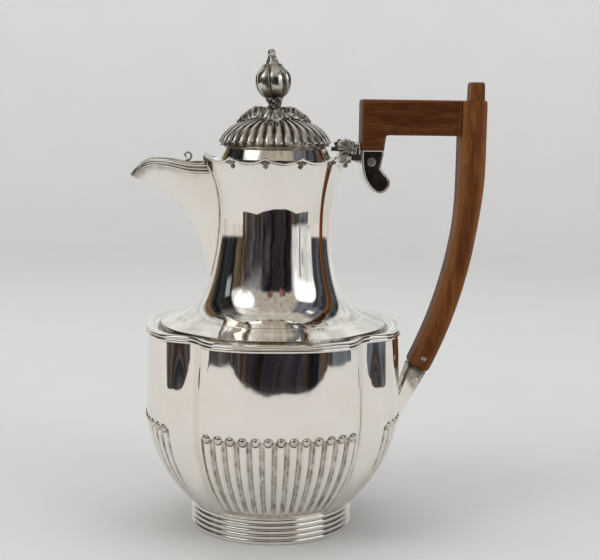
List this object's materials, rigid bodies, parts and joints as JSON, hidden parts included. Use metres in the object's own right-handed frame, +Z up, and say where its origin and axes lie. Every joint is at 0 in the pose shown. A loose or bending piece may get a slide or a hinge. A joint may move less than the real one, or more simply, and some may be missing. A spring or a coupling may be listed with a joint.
{
  "type": "coffee pot",
  "caption": "Silver coffee pot with a half-fluted four-lobed belly, tall waisted neck, open spout, hinged gadrooned lid with a bud finial and an angular wooden handle.",
  "frame": {"origin": "centre of the foot's underside, on the pot's upright axis", "axes": "+Z up, -X towards the spout, +X towards the handle, -Y the side that is seen when the spout points left"},
  "size_m": [0.1632, 0.118, 0.2201],
  "materials": {
    "silver": "polished silver, lightly tarnished",
    "aged_silver": "silver, tarnished in its hollows",
    "pin": "filed flush and worn",
    "wood": "oiled, worn hardwood"
  },
  "bodies": {
    "pot": {"foot_ring": "silver", "base_disc": "silver", "belly": "silver", "shoulder_wire": "silver", "shoulder": "silver", "neck": "silver", "rim_wire": "silver", "rim_shells": "silver", "spout": "silver", "spout_moulding": "silver", "spout_curl": "silver", "lid_seat": "silver", "hinge_plate": "aged_silver", "hinge_pin": "pin", "hinge_shells": "silver", "upper_socket": "aged_silver", "upper_socket_pin": "pin", "lower_socket": "aged_silver", "lower_socket_pin": "pin", "grip_pin": "pin", "handle_arm": "wood", "handle_grip": "wood"},
    "lid": {"lid_band": "silver", "lid_bezel": "silver", "lid_dome": "silver", "lid_hinge_leaf": "aged_silver", "lid_leaves": "silver", "finial_stem": "silver", "finial_bud": "silver", "finial_tip": "silver", "finial_stud": "aged_silver", "finial_nut": "aged_silver"}
  },
  "joints": [
    {"name": "lid_hinge", "type": "hinge", "parent": "pot", "child": "lid", "pos_m": [0.0322, 0, 0.1768], "axis": [0, 1, 0], "range_deg": [0, 70]}
  ]
}
